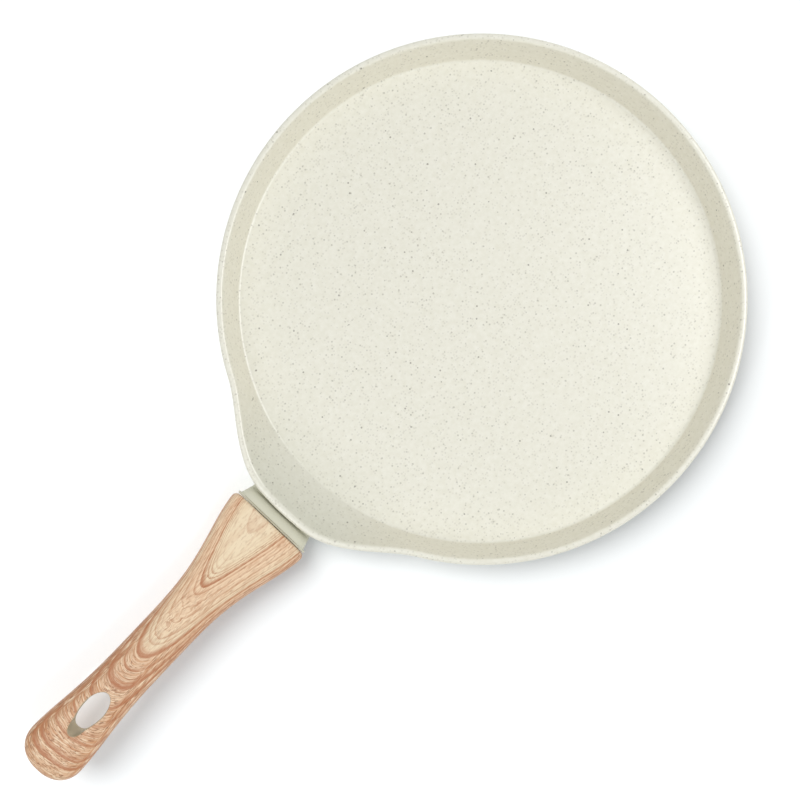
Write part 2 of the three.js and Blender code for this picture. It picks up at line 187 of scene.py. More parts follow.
def pan_surface():
    """The pressed dish. At each angle the half section runs from the recess under the base, round the
    heel, up the outer wall, over the lip, down the inner wall and through the fillet to the floor's
    middle; only the rim's reach, and with it the wall's slope, changes with the angle. Also returns, for
    each point, whether it lies on the inner wall and how far up the neck's ramp: the masks of the coat's
    painted shade."""
    phi = (np.arange(PAN_STEPS) - PAN_STEPS // 2) * TAU / PAN_STEPS
    slope, heel = (a[:, None] for a in wall_lines(phi))
    along, up = np.cos(slope), np.sin(slope)
    lip_out = RIM_RADIUS + neck_swell(phi)[:, None]
    lip_in = lip_out - LIP_WIDTH
    same = np.ones_like(slope)
    radii, heights = [], []

    def add(r, z):
        """Appends points of the half section, at one place or at each angle's own."""
        r, z = np.broadcast_arrays(r * same, z * same)
        radii.append(r)
        heights.append(z)

    def add_fillet(corner_r, corner_z, radius, turn):
        """Arc that turns from level into the wall's slope beside the corner of the two."""
        add(corner_r - radius * np.tan(slope / 2) + radius * np.sin(turn),
            corner_z + radius * (1 - np.cos(turn)))

    def add_bend(a, b, c, count):
        """Quadratic curve from a to c with its control point at b."""
        t = np.linspace(0, 1, count)
        weights = (1 - t) ** 2, 2 * t * (1 - t), t ** 2
        add(*(sum(k * p[i] for k, p in zip(weights, (a, b, c))) for i in (0, 1)))

    recess = DISC_RADIUS + FIT
    add(np.linspace(0, recess, 6), DISC_THICKNESS)
    add(recess, np.array([0.15, 0.0]))
    add(np.linspace(recess + 0.2, LAST_BASE_RING, 5), 0.0)
    add_fillet(heel, 0.0, HEEL_FILLET, slope * np.linspace(0, 1, 12))
    foot = PAN_HEIGHT - LIP_HEIGHT
    wall_top = foot - EDGE_ROUND
    rise = np.linspace(4.0, wall_top - 1.2, 6)
    add(heel + rise / np.tan(slope), rise)
    top_r = heel + wall_top / np.tan(slope)
    add_bend((heel + (wall_top - 0.8) / np.tan(slope), wall_top - 0.8), (top_r, wall_top),
             (lip_out - EDGE_ROUND, foot - 0.25), 5)
    add_bend((lip_out - EDGE_ROUND * 0.8, foot - 0.15), (lip_out, foot), (lip_out, foot + 0.8), 5)
    arc = np.linspace(0, math.pi / 2, 8)
    add(lip_out - CROWN + CROWN * np.cos(arc), PAN_HEIGHT - CROWN + CROWN * np.sin(arc))
    outside = sum(r.shape[1] for r in radii)
    add_bend((lip_in + EDGE_ROUND, PAN_HEIGHT), (lip_in, PAN_HEIGHT),
             (lip_in - EDGE_ROUND * along, PAN_HEIGHT - EDGE_ROUND * up), 8)
    tangent = FLOOR_FILLET * np.tan(slope / 2)
    fall = np.linspace(0.06, 0.94, 7)
    low_r, low_z = FLOOR_RADIUS + tangent * along, BASE_THICKNESS + tangent * up
    high_r, high_z = lip_in - EDGE_ROUND * along, PAN_HEIGHT - EDGE_ROUND * up
    add(high_r + (low_r - high_r) * fall, high_z + (low_z - high_z) * fall)
    add_fillet(FLOOR_RADIUS, BASE_THICKNESS, FLOOR_FILLET, slope * np.linspace(1, 0, 16))
    floor_rings = np.array([125, 120, 115, 110, 105, 100, 75, 50, 25, 0.0])
    add(floor_rings, BASE_THICKNESS)
    radius, height = np.hstack(radii), np.hstack(heights)
    inside = np.arange(radius.shape[1]) >= outside
    edge = np.clip((lip_in + EDGE_ROUND - radius) / (2 * EDGE_ROUND), 0, 1)
    climb = np.clip((radius - RAMP_START) / (lip_in - RAMP_START), 0, 1) ** 1.5
    swell = neck_swell(phi)[:, None] / NECK_REACH
    on_wall = inside * edge * smoothstep(height, BASE_THICKNESS, BASE_THICKNESS + 1.0) * (1 - swell)
    on_neck = inside * edge * climb * swell
    return upright(radius * np.cos(phi)[:, None], radius * np.sin(phi)[:, None], height), on_wall, on_neck


def perforations():
    """Centres of the disc's holes: rings of six, twelve, eighteen and twenty-four."""
    centres = []
    for ring in range(1, HOLE_RINGS + 1):
        radius = DISC_RADIUS * ring / (HOLE_RINGS + 0.6)
        turn = TAU * (np.arange(6 * ring) + ring / 2) / (6 * ring)
        centres += list(zip(radius * np.cos(turn), radius * np.sin(turn)))
    return centres


def pegs(radius, low, high):
    """Round pegs between two heights, one at each hole of the disc."""
    profile = [(0, low), (radius, low), (radius, high), (0, high)]
    return skin("pegs", turned(perforations(), profile, PEG_STEPS, upright))


# Handle

def round_off(u, radius):
    """What a quarter round takes off at a distance u from the end."""
    return radius - np.sqrt(radius ** 2 - np.clip(radius - u, 0, radius) ** 2)


def handle_sizes(u):
    """Half width, half height and squareness along the handle: wide and square at the front, slim and
    rounder at the waist, fuller at the tail, rounded off at both ends. The last value is the half width
    without that rounding."""
    tail = HANDLE_LENGTH - TAIL_ROUND
    ahead = np.clip(u / WAIST_FROM_FRONT, 0, 1)
    behind = np.clip((u - WAIST_FROM_FRONT) / (tail - WAIST_FROM_FRONT), 0, 1)
    width = WAIST_WIDTH + (FRONT_WIDTH - WAIST_WIDTH) * (1 - ahead ** 1.75) ** 5
    width = width + (TAIL_WIDTH - WAIST_WIDTH) * smoothstep(behind ** 1.6, 0, 1)
    height = WAIST_HEIGHT + (FRONT_HEIGHT - WAIST_HEIGHT) * (1 - smoothstep(ahead, 0, 1))
    height = height + (TAIL_HEIGHT - WAIST_HEIGHT) * smoothstep(behind, 0, 1)
    power = FRONT_POWER - 1.1 * smoothstep(ahead, 0, 1) + 0.4 * smoothstep(behind, 0, 1)
    past = np.clip((u - tail) / TAIL_ROUND, 0, 1)
    plan = width / 2
    half_width = (plan - round_off(u, FRONT_CORNER)) * (1 - past ** 2.2) ** (1 / 2.2)
    half_height = (height / 2 - round_off(u, FRONT_EDGE)) * (1 - past ** 2.6) ** (1 / 2.6)
    return half_width, half_height, power, plan


def handle_height(u, v, side):
    """Height w of the upper (side 1) or lower (side -1) face over a point u, v: a rounded section on
    a spine that bends down as u squared."""
    half_width, half_height, power, _ = handle_sizes(u)
    q = np.clip(np.abs(v) / np.maximum(half_width, 1e-6), 0, 1)
    return -BEND * u * u + side * half_height * (1 - q ** power) ** (1 / power)


def eye_edge(theta, side):
    """Where the wall of the hanging hole comes out of the upper or lower face, as u, v. Above, the
    outline is an ellipse drawn out toward the tail into a scoop of even width with a round end; below,
    an ellipse blunt toward the tail and shorter by the draft. The wall stands upright in the object's
    frame, so u is settled by a few passes."""
    tip = in_handle(HANDLE_LENGTH, 0.0, -BEND * HANDLE_LENGTH ** 2)
    centre = tip[0] - EYE_FROM_TAIL - EYE_LENGTH / 2
    turn, across = np.cos(theta), np.sign(np.sin(theta))
    if side > 0:
        half = EYE_ROUND_LENGTH / 2
        along = np.where(turn > 0, EYE_LENGTH - half, half) * turn
        ellipse = EYE_WIDTH / 2 * np.sqrt(np.clip(1 - (along / half) ** 2, 0, 1))
        scoop = SCOOP_WIDTH / 2 * np.sqrt(1 - np.abs(turn) ** 5) * smoothstep(along, 0, 0.7 * half)
        v = across * (ellipse ** 6 + scoop ** 6) ** (1 / 6)
        x = centre + along + half - EYE_LENGTH / 2
    else:
        power = np.where(turn > 0, 2.5, 2.0)
        half = EYE_LENGTH / 2 - TAIL_HEIGHT * math.tan(EYE_DRAFT)
        v = EYE_WIDTH / 2 * across * np.abs(np.sin(theta)) ** (2 / power)
        x = centre + half * np.sign(turn) * np.abs(turn) ** (2 / power)
    w = np.zeros_like(theta)
    for _ in range(12):
        u = (x - FRONT_X + w * math.sin(HANDLE_TILT)) / math.cos(HANDLE_TILT)
        w = handle_height(u, v, side)
    return u, v


# Printed growth lines: where the tip lies along the handle, how thick the band is at the tip and where it
# runs lengthwise, both in millimetres of tip, and how dark it is.
GROWTH_LINES = ((12, 4, 3, 0.35), (30, 1.2, 1.4, 0.2), (35.5, 1.6, 1.6, 0.35), (39.2, 1.6, 2.0, 0.65),
                (42.5, 1.8, 2.2, 0.85), (48.5, 5.6, 5.6, 1.0), (53, 1.8, 3.0, 0.65), (57.5, 1.3, 1.5, 0.3),
                (62.5, 1.3, 4.0, 0.6), (66.5, 1.4, 1.5, 0.3), (72, 1.4, 4.2, 0.6), (76.5, 1.4, 1.6, 0.3),
                (82, 1.4, 4.4, 0.6), (86, 1.6, 2.2, 0.5), (95, 4.5, 7.5, 0.95), (104, 3, 5, 0.6),
                (115.5, 6, 10, 0.92), (127.5, 3, 9, 0.95), (138.5, 2.4, 7, 0.65), (144, 2, 3, 0.5),
                (149.5, 2.4, 5, 0.7), (159.5, 3, 7, 0.95), (165, 3.2, 4, 0.95), (174, 2.2, 5, 0.75),
                (182, 3, 2.5, 0.4), (188, 3, 2, 0.25), (195, 3, 4, 0.42), (203, 3, 2.5, 0.3),
                (212, 3, 4.5, 0.42), (221, 3, 3, 0.3), (231, 3, 5, 0.42), (243, 3, 4, 0.32))
TIP_RANGE = 240.0

# Right and left side of the tongues: reach in millimetres at the first tip, how fast it falls off along the
# handle, and the least that is left.
TONGUE_SIDES = ((140, 0.0335, 4.5), (50, 0.0265, 0.0))
FIRST_TIP = 47.0


def tongue_reach(tip, first, fade, least):
    """How far a tongue's side runs back from its tip: an exponential fall with a floor."""
    return np.maximum(first * np.exp(-fade * (tip - FIRST_TIP)), least)


def growth(u, v, side):
    """The printed grain. A growth line is a tongue that opens toward the pan: the line whose tip lies at
    T passes through u = T - c(T) q^2 / (1 - q^2), with q the share of the way from the tongues' axis to
    the edge and c falling off along the handle, so that long tongues at the front turn into flat arcs at
    the tail. From half way down the sides T also grows with the way round, so that the lines run on
    lengthwise there and the print has no seam. Returns T and how far the lines run lengthwise."""
    half_width, half_height, power, plan = handle_sizes(u)
    out = np.clip(np.abs(v) / np.maximum(half_width, 1e-6), 0, 1)
    level = half_height * (1 - out ** power) ** (1 / power)
    way_round = np.maximum(0.5 * half_height - level, 0)
    if side < 0:
        way_round = 0.5 * half_height + level + 0.5 * (1 - out ** 2) * half_width
    lean = -0.22 + 0.12 * smoothstep(u, 40, 120)
    share = v / plan
    square = 0.97 - 0.13 * smoothstep(u, 105, 150)
    halves = ((square, (share - lean) / (1 - lean), plan * (1 - lean)),
              (0.97, (lean - share) / (1 + lean), plan * (1 + lean)))
    ends = []
    for tongue_side, (most, q, half) in zip(TONGUE_SIDES, halves):
        q = most * np.clip(q, 0, 1)
        spread = q ** 2 / (1 - q ** 2)
        low, high = np.full_like(u, -200.0), np.full_like(u, 400.0)
        for _ in range(30):
            tip = (low + high) / 2
            short = tip - tongue_reach(tip, *tongue_side) * spread < u
            low, high = np.where(short, tip, low), np.where(short, high, tip)
        slant = tongue_reach(tip, *tongue_side) * 2 * q / (1 - q ** 2) ** 2 / half
        ends.append((tip, smoothstep(slant, 0.8, 2.2)))
    (right, right_run), (left, left_run) = ends
    on_right = share > lean
    return np.where(on_right, right, left) + 1.6 * way_round, np.where(on_right, right_run, left_run)


def grip_outline():
    """One side of the handle's outline as u, v: front face, rounded corner, side, rounded tail. Also
    returns how many of the points lie on the front face."""
    tail = HANDLE_LENGTH - TAIL_ROUND
    front_half = handle_sizes(np.array([0.0]))[0][0]
    corner = FRONT_CORNER * (1 - np.cos(np.linspace(0, math.pi / 2, 12)[1:]))
    side = np.linspace(FRONT_CORNER, tail, 121)[1:]
    end = tail + TAIL_ROUND * np.sin(np.linspace(0, math.pi / 2, 37)[1:])
    front = 25
    u = np.concatenate([np.zeros(front), corner, side, end])
    v = np.concatenate([np.linspace(0, front_half, front), handle_sizes(u[front:])[0]])
    v[-1] = 0.0
    return u, v, front


def grip():
    """The moulded handle, worked out as spokes from the hanging hole to the outline. Upper and lower
    face: each spoke rolls over the hole's rounded edge and runs straight, in u and share of the half
    width, to the outline. The hole's wall joins the two edges, and the front face joins the two ends
    of the spokes that reach it."""
    out_u, out_v, front = grip_outline()
    out_q = out_v / handle_sizes(out_u)[3]
    mid_u = float(eye_edge(np.array([math.pi / 2]), 1)[0][0])
    mid_q = EYE_WIDTH / 2 / float(handle_sizes(np.array([mid_u]))[3][0])
    theta = np.arctan2(out_q / mid_q, (out_u - mid_u) / (EYE_LENGTH / 2))
    roll = np.linspace(0, math.pi / 2, 8)
    main = steps(76, 1.8)[1:]
    patches, tips, runs, shares, bare, ends, edges = [], [], [], [], [], {}, {}

    def add(u, v, w, side, uncovered):
        """Appends a grid of points and its mirror image, each with its values for the print."""
        for flip in (1, -1):
            patches.append(patch(in_handle(u, flip * v, w)))
            tip, run = growth(u, flip * v, side)
            tips.append(tip)
            runs.append(run)
            shares.append(flip * v / handle_sizes(u)[3])
            bare.append(uncovered)

    for side in (1, -1):
        eye_u, eye_v = eye_edge(theta, side)
        eye_q = eye_v / handle_sizes(eye_u)[3]
        length = np.hypot(out_u - eye_u, out_v - eye_v)
        first = (EYE_ROUND / length)[:, None]
        share = np.hstack([first * (1 - np.cos(roll)), first + (1 - first) * main])
        sink = np.concatenate([EYE_ROUND * (1 - np.sin(roll)), np.zeros(len(main))])
        u = eye_u[:, None] + (out_u - eye_u)[:, None] * share
        v = (eye_q[:, None] + (out_q - eye_q)[:, None] * share) * handle_sizes(u)[3]
        v[:, -1] = out_v
        u[:, -1] = out_u
        w = handle_height(u, v, side) - side * sink
        w[front:, -1] = (-BEND * u * u)[front:, -1]
        ends[side] = (u[:front, -1], v[:front, -1], w[:front, -1])
        edges[side] = (u[:, 0], v[:, 0], w[:, 0])
        inner = np.broadcast_to(np.concatenate([np.cos(roll), np.zeros(len(main))]), u.shape)
        add(u, v, w, side, inner)
    t = np.linspace(0, 1, 14)
    wall = [a[:, None] * (1 - t) + b[:, None] * t for a, b in zip(edges[1], edges[-1])]
    t = np.linspace(0, 1, 9)
    face = [a[:, None] * (1 - t) + b[:, None] * t for a, b in zip(ends[1], ends[-1])]
    add(*wall, 1, np.ones_like(wall[0]))
    add(*face, 1, np.zeros_like(face[0]))
    lines = np.array(GROWTH_LINES)
    at_tip, at_side = (np.stack([lines[:, 0] - lines[:, k], lines[:, 0]], 1).ravel() for k in (1, 2))
    count = np.arange(1, len(at_tip) + 1) / 2
    rings = [np.interp(tip, at_tip, count) * (1 - run) + np.interp(tip, at_side, count) * run
             for tip, run in zip(tips, runs)]
    tags = {"tip": tips, "ring": rings, "run": runs, "share": shares, "bare": bare}
    return skin("handle", patches, tags, sharp=40)


def socket(clearance):
    """Box that the tang takes up inside handle and flame guard."""
    past_collar = -60.0
    u = np.array([past_collar, TANG_GRIP + clearance])
    v = (TANG_WIDTH / 2 + clearance) * np.array([-1, 1])
    w = (TANG_THICKNESS / 2 + clearance) * np.array([-1, 1])
    ring = np.stack([in_handle(a, v[[0, 1, 1, 0]], w[[0, 0, 1, 1]]) for a in u], 1)
    caps = [np.repeat(ring[:, k].mean(0)[None], 4, 0) for k in (0, 1)]
    return skin("socket", [patch(np.stack([caps[0], ring[:, 0], ring[:, 1], caps[1]], 1), wrap=True)])


def screw_pocket():
    """Counterbore for head and washers, stepped down to the screw's own hole."""
    seat = -TANG_THICKNESS / 2 - FIT - LEDGE
    wide, narrow = FLAT_WASHER_RADIUS + FIT, SCREW_RADIUS + FIT
    profile = [(0, -FRONT_HEIGHT), (wide, -FRONT_HEIGHT), (wide, seat), (narrow, seat), (narrow, 0), (0, 0)]
    return skin("pocket", turned([(SCREW_AT, 0)], profile, 64, in_handle))


# Flame guard

def guard_section(u, less):
    """Half width, top and bottom of the collar along u: level behind the handle's front, rolling down
    to a groove below the lip and thinning under the neck. less is the wall taken off for the hollow,
    whose top runs straight."""
    lip_x = RIM_RADIUS + NECK_REACH - FRONT_X
    lip_z = HANDLE_DROP - LIP_HEIGHT - 2 * FIT
    lip_u = lip_x * math.cos(HANDLE_TILT) + lip_z * math.sin(HANDLE_TILT)
    lip_w = lip_z * math.cos(HANDLE_TILT) - lip_x * math.sin(HANDLE_TILT)
    half, high = FRONT_WIDTH / 2 - GUARD_INSET, FRONT_HEIGHT / 2 - GUARD_INSET
    knots = [lip_u - GUARD_UNDER, lip_u, -FIT - FLANGE_THICKNESS]
    lip_half = half - GUARD_NARROW
    width = np.interp(u, knots, [lip_half - GUARD_TAPER, lip_half, half])
    top = np.interp(u, knots, [lip_w - GUARD_TAPER, lip_w, high])
    if not less:
        share = np.interp(u, knots[1:], [1.0, 0.0])
        rolled = high - (high - lip_w + GUARD_GROOVE) * share ** 2.4
        under = np.interp(u, knots[:2], [lip_w - GUARD_TAPER, lip_w - GUARD_GROOVE])
        top = np.where(u > lip_u, rolled, under)
    bottom = np.interp(u, knots, [GUARD_RISE - high, -high, -high])
    return width - less, top - less, bottom + less


def guard_points(u, turn, less, wider=0.0, higher=0.0):
    """Collar points: a squared-off ellipse of the section's size, at a turn round the handle's axis."""
    width, top, bottom = guard_section(u, less)
    c = np.sign(np.cos(turn)) * np.abs(np.cos(turn)) ** (2 / FRONT_POWER)
    s = np.sign(np.sin(turn)) * np.abs(np.sin(turn)) ** (2 / FRONT_POWER)
    return in_handle(u, (width + wider) * c, (top + bottom) / 2 + ((top - bottom) / 2 + higher) * s)


def under_pan(points):
    """Height of a point above the underside of neck and lip, kept FIT away: positive is inside the pan."""
    radius, phi = np.hypot(points[..., 0], points[..., 1]), np.arctan2(points[..., 1], points[..., 0])
    slope, heel = wall_lines(phi)
    wall = (radius - heel) * np.tan(slope) - FIT / np.cos(slope)
    lip = np.where(radius < RIM_RADIUS + neck_swell(phi) + FIT, PAN_HEIGHT - LIP_HEIGHT - FIT, 1e3)
    return points[..., 2] - np.minimum(wall, lip)


def trimmed_run(turn, back, less, rows):
    """Values of u from where the collar meets the pan to back, for each turn round it."""
    far_under_neck = -42
    u = np.linspace(back, far_under_neck, 500)
    depth = under_pan(guard_points(u[None], turn[:, None], less))
    first = np.maximum(np.argmax(depth > 0, 1), 1)
    line = np.arange(len(turn))
    a, b = depth[line, first - 1], depth[line, first]
    end = u[first - 1] + (u[first] - u[first - 1]) * a / (a - b)
    return end[:, None] + (back - end)[:, None] * np.linspace(0, 1, rows)


def guard():
    """The cast collar: outer skin from the neck to the flange, the flange with rounded edges, the back
    wall, and the hollow inside, all trimmed to the underside of the neck."""
    even = np.linspace(0, TAU, 240, endpoint=False)
    # Steps crowded at the middles of the four sides, where the section's formula spreads the points.
    turn = even - 0.16 * np.sin(4 * even)
    column = turn[:, None]
    back = -FIT - FLANGE_THICKNESS
    outer = guard_points(trimmed_run(turn, back, 0.0, 72), column, 0.0)
    bend = np.linspace(0, math.pi / 2, 5)
    edge_u = np.concatenate([back + FLANGE_EDGE * (1 - np.sin(bend[::-1])),
                             -FIT - FLANGE_EDGE * (1 - np.sin(bend))])
    trim = FLANGE_EDGE * (1 - np.concatenate([np.cos(bend[::-1]), np.cos(bend)]))
    flange = np.stack([guard_points(np.full(1, u), column, 0.0, FLANGE_STEP - t, -FLANGE_DROP - t)[:, 0]
                       for u, t in zip(edge_u, trim)], 1)
    rim = flange[:, -1]
    inner = guard_points(trimmed_run(turn, -FIT - GUARD_WEB, GUARD_WALL, 24), column, GUARD_WALL)[:, ::-1]
    close = np.repeat(rim.mean(0)[None], len(turn), 0)[:, None]
    web = np.repeat(inner[:, 0].mean(0)[None], len(turn), 0)[:, None]
    loop = np.concatenate([web, inner, outer, flange, close], 1)
    return skin("flame_guard_shell", [patch(loop, wrap=True)], sharp=38)


# Materials

# Settings that many nodes share.
MULTIPLY, MULTIPLY_ADD, ADD, SUBTRACT, DIVIDE, ABSOLUTE, MAXIMUM = (
    {"operation": name} for name in
    ("MULTIPLY", "MULTIPLY_ADD", "ADD", "SUBTRACT", "DIVIDE", "ABSOLUTE", "MAXIMUM"))
COLOUR, TINT = {"data_type": "RGBA"}, {"data_type": "RGBA", "blend_type": "MULTIPLY"}
EASED = {"interpolation_type": "SMOOTHSTEP"}

# Specks of the coat: cell size and speck radius in millimetres, share of the cells that hold a speck,
# strength and colour.
SPECKS = ((1.5, 0.66, 0.42, 0.18, "#8C8677"), (2.4, 0.64, 0.25, 0.37, "#7C7668"),
          (4.8, 0.62, 0.17, 0.62, "#625C50"))

# The print's ground tone, its curl in millimetres and the strength of its pores, each by share of TIP_RANGE.
WOOD_TONES = ((0.0, "#EBD9BB"), (0.17, "#E9D6B5"), (0.2, "#E6C6A4"), (0.26, "#E9CDAC"), (0.31, "#E9D0AF"),
              (0.36, "#E6D3B3"), (0.39, "#DCBA99"), (0.46, "#DBB897"), (0.55, "#DAB796"), (0.66, "#D7B18E"),
              (0.72, "#D9B592"), (0.82, "#E6C8A6"))
MOST_CURL = 2.8
CURL = ((0.22, 0.0), (0.26, MOST_CURL), (0.31, MOST_CURL), (0.36, 0.0))
PORE_STRENGTH = ((0.16, 0.42), (0.22, 0.65), (0.31, 0.62), (0.35, 0.4), (0.385, 0.5), (0.42, 1.05),
                 (0.55, 1.1), (0.7, 1.1), (0.8, 0.55))
# Pores: width and length in millimetres, noise levels where they begin and are full, strength, colour.
# Where they run lengthwise they are PORE_STRETCH times as long.
PORES = ((1.3, 34.0, 0.47, 0.62, 0.68, "#BF865B"), (0.55, 7.0, 0.52, 0.66, 0.65, "#A06C46"),
         (0.55, 6.0, 0.52, 0.64, 0.6, "#F6E3C4"), (0.5, 1.8, 0.58, 0.66, 0.75, "#8A5A38"))
PORE_STRETCH = 2.2
# Painted shade toward the edges, where the surface turns away from the light: shares of the half width
# where it begins and is full, strength, colour.
EDGE_SHADE_TONES = ((0.5, 0.9, 0.18, "#D9A57C"), (0.88, 1.0, 0.28, "#BC8A62"))
# Darkness across one growth line, from the pale early wood to the sharp late edge.
LINE_PROFILE = ((0.42, 0.0), (0.66, 0.55), (0.84, 1.0), (0.94, 0.95), (1.0, 0.0))


def linear(code):
    """Linear colour from an sRGB hex code."""
    parts = [int(code[k:k + 2], 16) / 255 for k in (1, 3, 5)]
    return tuple(c / 12.92 if c <= 0.04045 else ((c + 0.055) / 1.055) ** 2.4 for c in parts) + (1.0,)


def material(name):
    """A new material with its node tree and its shader."""
    made = bpy.data.materials.new(name)
    made.use_nodes = True
    tree = made.node_tree
    return made, tree, tree.nodes["Principled BSDF"]


def node(tree, kind, settings=None, **links):
    """Adds a shader node, sets its properties and plain inputs, and links the inputs that are sockets; _3 is
    the input in place 3. A ramp's stops are pairs of place and hex colour or grey level."""
    added = tree.nodes.new("ShaderNode" + kind)
    for key, value in (settings or {}).items():
        if key == "stops":
            scale = added.color_ramp
            while len(scale.elements) < len(value):
                scale.elements.new(1.0)
            for element, (spot, tone) in zip(scale.elements, value):
                element.position = spot
                element.color = linear(tone) if isinstance(tone, str) else (tone, tone, tone, 1.0)
        elif key == "steps":
            added.color_ramp.interpolation = value
        else:
            setattr(added, key, value)
    for key, value in links.items():
        spot = added.inputs[int(key[1:])] if key[1:].isdigit() else added.inputs[key.replace("_", " ")]
        if isinstance(value, bpy.types.NodeSocket):
            tree.links.new(value, spot)
        else:
            spot.default_value = value
    return added


def dress(piece, made):
    """Gives a piece one material."""
    piece.data.materials.clear()
    piece.data.materials.append(made)


def stone_coat():
    """Ceramic non-stick coat, sprayed and baked: warm cream, satin, with fine dark specks of three sizes
    and a faint orange-peel surface. As painted shade, the inner wall is tinted a touch warmer, and the
    neck's ramp greyer and darker toward the lip."""
    made, tree, shader = material("sprayed_ceramic_stone_coat")
    place = node(tree, "TexCoord").outputs["Object"]
    cloud = node(tree, "TexNoise", Vector=place, Scale=1000 / 2.4, Detail=3.0).outputs["Fac"]
    colour = node(tree, "Mix", COLOUR, _0=cloud, _6=linear("#DDDBCB"), _7=linear("#EEEDE2")).outputs[2]
    for cell_mm, speck_mm, share, strength, shade in SPECKS:
        cells = node(tree, "TexVoronoi", Vector=place, Scale=1000 / cell_mm, Randomness=1.0).outputs
        pick = node(tree, "SeparateColor", Color=cells["Color"]).outputs[1]
        speck = node(tree, "MapRange", EASED, _0=cells["Distance"], _1=0.6 * speck_mm / cell_mm,
                     _2=speck_mm / cell_mm, _3=strength, _4=0.0).outputs[0]
        chosen = node(tree, "Math", {"operation": "LESS_THAN"}, _0=pick, _1=share).outputs[0]
        speck = node(tree, "Math", MULTIPLY, _0=speck, _1=chosen).outputs[0]
        colour = node(tree, "Mix", COLOUR, _0=speck, _6=colour, _7=linear(shade)).outputs[2]
    # Painted shade: a warmer tint on the inner wall, and a greyer, darker one up the neck's ramp.
    for tag, tint in (("on_wall", "#FFFDF9"), ("on_neck", "#E2E3DE")):
        amount = node(tree, "Attribute", {"attribute_name": tag}).outputs["Fac"]
        colour = node(tree, "Mix", TINT, _0=amount, _6=colour, _7=linear(tint)).outputs[2]
    tree.links.new(colour, shader.inputs["Base Color"])
    peel = node(tree, "TexNoise", Vector=place, Scale=1000 / 1.6, Detail=2.0).outputs["Fac"]
    bump = node(tree, "Bump", Height=peel, Strength=0.12, Distance=0.00012)
    tree.links.new(bump.outputs["Normal"], shader.inputs["Normal"])
    shader.inputs["Roughness"].default_value = 0.3
    shader.inputs["IOR"].default_value = 1.5
    return made


def guard_paint():
    """Sprayed satin enamel on die-cast aluminium: plain cream with a green cast, faintly uneven, with three
    clouds in 50 mm."""
    made, tree, shader = material("sprayed_enamel_on_cast_aluminium")
    place = node(tree, "TexCoord").outputs["Object"]
    cloud = node(tree, "TexNoise", Vector=place, Scale=3 * 1000 / 50, Detail=3.0).outputs["Fac"]
    tone = node(tree, "Mix", COLOUR, _0=cloud, _6=linear("#CCCBB7"), _7=linear("#D3D2BF"))
    tree.links.new(tone.outputs[2], shader.inputs["Base Color"])
    peel = node(tree, "TexNoise", Vector=place, Scale=1000 / 1.2, Detail=1.0).outputs["Fac"]
    bump = node(tree, "Bump", Height=peel, Strength=0.06, Distance=0.0001)
    tree.links.new(bump.outputs["Normal"], shader.inputs["Normal"])
    shader.inputs["Roughness"].default_value = 0.45
    return made


